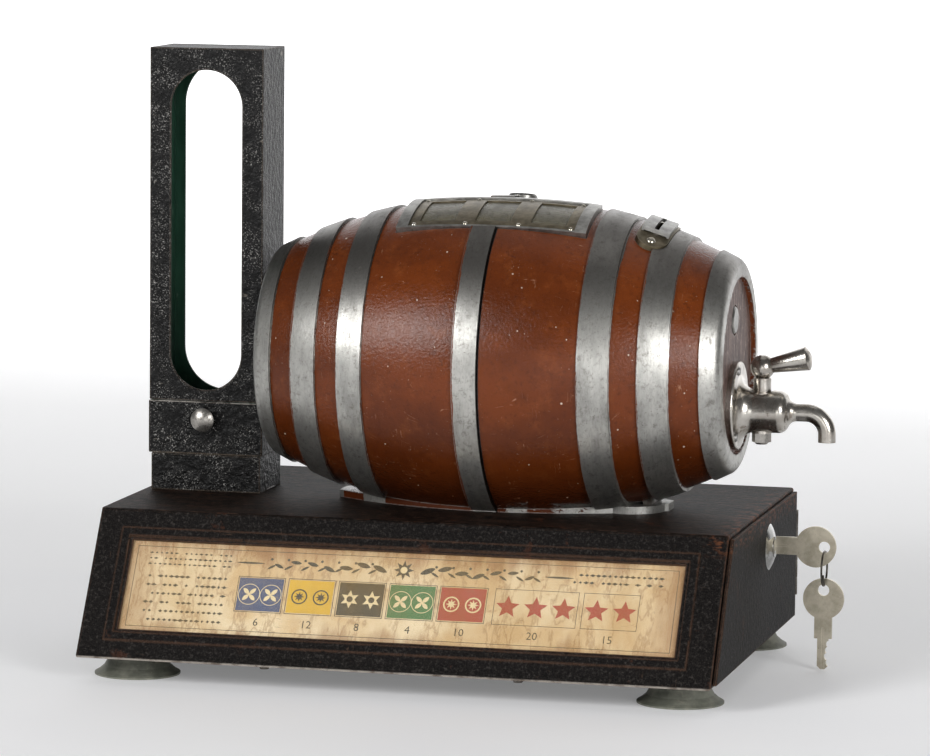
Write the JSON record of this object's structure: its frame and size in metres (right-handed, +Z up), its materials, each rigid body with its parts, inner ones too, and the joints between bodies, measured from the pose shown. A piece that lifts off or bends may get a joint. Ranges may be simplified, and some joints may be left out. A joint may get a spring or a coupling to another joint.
{
  "type": "trade stimulator",
  "caption": "Countertop game of chance: a keg with spinning reels and a spigot handle, a pretzel magazine with a drawer, on a sloped metal base with a side door and feet.",
  "frame": {"origin": "centre of the bounding box, on the table under the feet", "axes": "+X to the right towards the spigot and the keys, +Y to the back, +Z up"},
  "size_m": [0.3868, 0.246, 0.3315],
  "materials": {
    "black_paint": "black wrinkle paint worn to rust brown at the edges",
    "crackle_paint": "black crackle paint",
    "green_paint": "dark green gloss paint",
    "keg_enamel": "brown enamel on cast metal, hoops polished bare",
    "cast_metal": "dull cast aluminium with fine pits",
    "nickel": "polished nickel with light tarnish",
    "steel": "aged steel",
    "aged_brass": "dull nickel brass",
    "key_metal": "worn nickel silver",
    "lock_chrome": "bright chrome",
    "foot_rubber": "grey green rubber",
    "celluloid": "yellowed clear sheet",
    "card": "aged printed card",
    "reel_strip": "aged printed strip"
  },
  "bodies": {
    "base": {"base_shell": "black_paint", "bottom_plate": "black_paint", "bottom_screws": "steel", "suction_feet": "foot_rubber", "foot_studs": "steel", "award_card": "card", "card_window": "celluloid", "card_retainer": "steel", "cash_tray": "steel", "barrel_left_half": "keg_enamel", "barrel_right_half": "keg_enamel", "top_screws": "steel", "window_bezel": "cast_metal", "window_plate": "aged_brass", "window_pane": "celluloid", "window_rivets": "aged_brass", "coin_plate": "aged_brass", "coin_strap": "cast_metal", "coin_screws": "aged_brass", "coin_view_ring": "cast_metal", "coin_view_glass": "celluloid", "coin_chute": "steel", "head_bung": "cast_metal", "frame_plate_left": "steel", "frame_plate_right": "steel", "frame_spacers": "steel", "reel_shaft": "steel", "return_spring": "steel", "spigot_body": "nickel", "spigot_screws": "nickel", "pedestal": "crackle_paint", "magazine_liner": "green_paint", "magazine_column": "crackle_paint", "lid_pin": "steel", "hinge_leaf_fixed": "steel", "hinge_pin": "steel"},
    "door": {"side_door": "black_paint", "hinge_leaf_door": "steel", "lock_case": "lock_chrome", "lock_nut": "steel"},
    "lock": {"lock_plug": "lock_chrome", "lock_cam": "steel", "door_key": "key_metal"},
    "ring": {"key_ring": "steel"},
    "spare": {"spare_key": "key_metal"},
    "spigot": {"spigot_plug": "nickel", "spigot_handle": "nickel", "spigot_nut": "nickel"},
    "rod": {"push_rod": "steel"},
    "kicker": {"kicker": "steel"},
    "pawls": {"pawl_set": "aged_brass"},
    "left_reel": {"reel_left": "reel_strip"},
    "middle_reel": {"reel_middle": "reel_strip"},
    "right_reel": {"reel_right": "reel_strip"},
    "drawer": {"vend_drawer": "crackle_paint", "drawer_knob": "steel"},
    "lid": {"magazine_lid": "crackle_paint"}
  },
  "joints": [
    {"name": "spigot_turn", "type": "hinge", "parent": "base", "child": "spigot", "pos_m": [0.1502, 0.009, 0.143], "axis": [0, 0, -1], "range_deg": [0, 60], "stiffness_Nm_per_rad": 0.25, "springref_deg": -20.05},
    {"name": "push_slide", "type": "slide", "parent": "base", "child": "rod", "axis": [-1, 0, 0], "range_m": [0, 0.0037]},
    {"name": "kicker_turn", "type": "hinge", "parent": "base", "child": "kicker", "pos_m": [0.0096, 0.02088, 0.12152], "axis": [1, 0, 0], "range_deg": [0, 9.8]},
    {"name": "pawl_lift", "type": "hinge", "parent": "base", "child": "pawls", "pos_m": [0.0096, 0.05974, 0.15134], "axis": [-1, 0, 0], "range_deg": [0, 9.5]},
    {"name": "left_reel_spin", "type": "hinge", "parent": "base", "child": "left_reel", "pos_m": [-0.0209, 0.00431, 0.18334], "axis": [1, 0, 0], "continuous": true},
    {"name": "middle_reel_spin", "type": "hinge", "parent": "base", "child": "middle_reel", "pos_m": [0.0096, 0.00431, 0.18334], "axis": [1, 0, 0], "continuous": true},
    {"name": "right_reel_spin", "type": "hinge", "parent": "base", "child": "right_reel", "pos_m": [0.0401, 0.00431, 0.18334], "axis": [1, 0, 0], "continuous": true},
    {"name": "drawer_slide", "type": "slide", "parent": "base", "child": "drawer", "axis": [0, -1, 0], "range_m": [0, 0.034]},
    {"name": "lid_open", "type": "hinge", "parent": "base", "child": "lid", "pos_m": [-0.15815, 0.0338, 0.3277], "axis": [-1, 0, 0], "range_deg": [0, 100]},
    {"name": "door_open", "type": "hinge", "parent": "base", "child": "door", "pos_m": [0.1495, 0.1179, 0.0505], "axis": [0, 0, 1], "range_deg": [0, 100]},
    {"name": "key_turn", "type": "hinge", "parent": "door", "child": "lock", "pos_m": [0.1496, 0.029, 0.0665], "axis": [1, 0, 0], "range_deg": [0, 90]},
    {"name": "ring_hang", "type": "hinge", "parent": "lock", "child": "ring", "pos_m": [0.1822, 0.029, 0.0622], "axis": [1, 0, 0], "range_deg": [-90, 0]},
    {"name": "spare_swing", "type": "hinge", "parent": "ring", "child": "spare", "pos_m": [0.1822, 0.029, 0.0467], "axis": [0, 1, 0], "range_deg": [-25, 25]}
  ],
  "couplings": [
    {"joint": "push_slide", "follows": "spigot_turn", "m_per_rad": 0.0035332},
    {"joint": "kicker_turn", "follows": "spigot_turn", "ratio": 0.16333},
    {"joint": "pawl_lift", "follows": "spigot_turn", "ratio": 0.15833},
    {"joint": "ring_hang", "follows": "key_turn", "ratio": -1}
  ]
}
